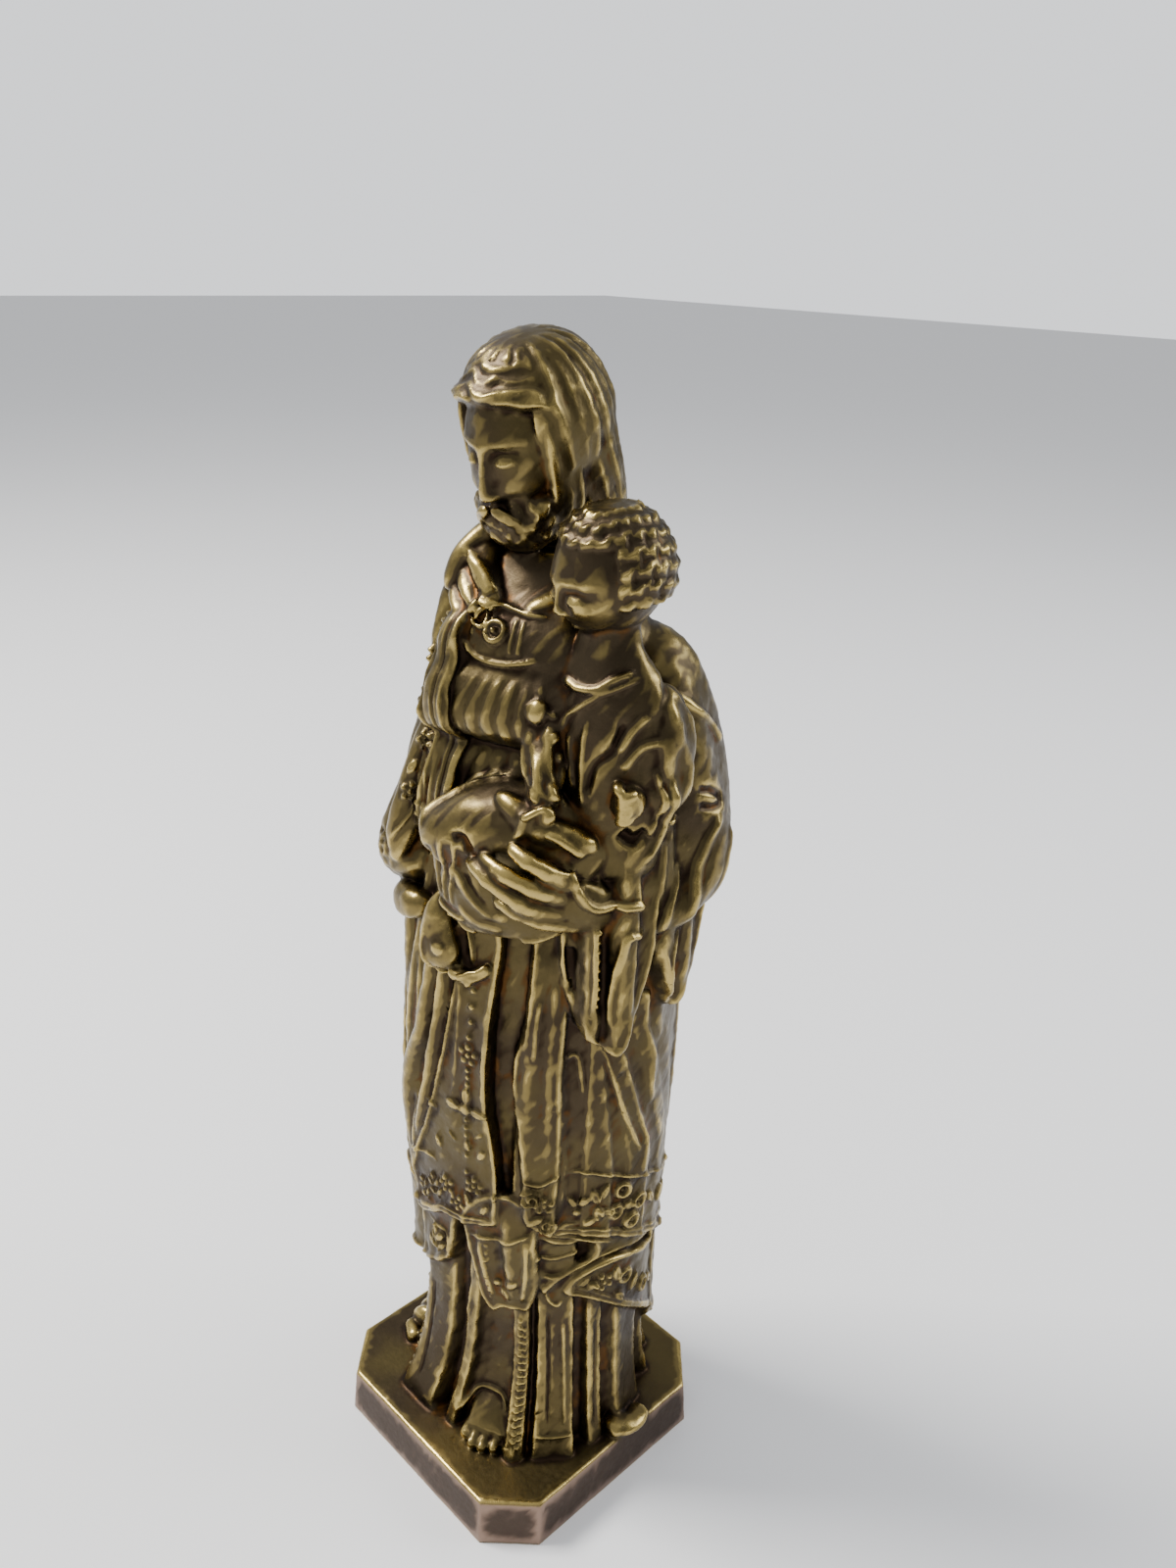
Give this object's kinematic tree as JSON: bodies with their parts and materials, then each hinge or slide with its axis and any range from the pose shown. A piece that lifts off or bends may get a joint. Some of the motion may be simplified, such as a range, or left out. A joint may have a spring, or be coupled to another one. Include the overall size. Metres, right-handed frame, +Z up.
{
  "type": "saint figure",
  "caption": "cast brass statuette of a robed, bearded saint holding a child on the left arm, standing on a low square plinth with cut corners",
  "frame": {"origin": "middle of the plinth's underside", "axes": "+Z is up along the figure, +X and -Y are square to the plinth's sides, and the figure faces -Y turned 16 degrees towards +X"},
  "size_m": [0.0576, 0.0532, 0.2006],
  "materials": {
    "patinated_brass": "cast brass with a brown patina, rubbed pale gold on the raised folds and dark in the hollows"
  },
  "bodies": {
    "root": {"saint_figure": "patinated_brass"}
  },
  "joints": []
}
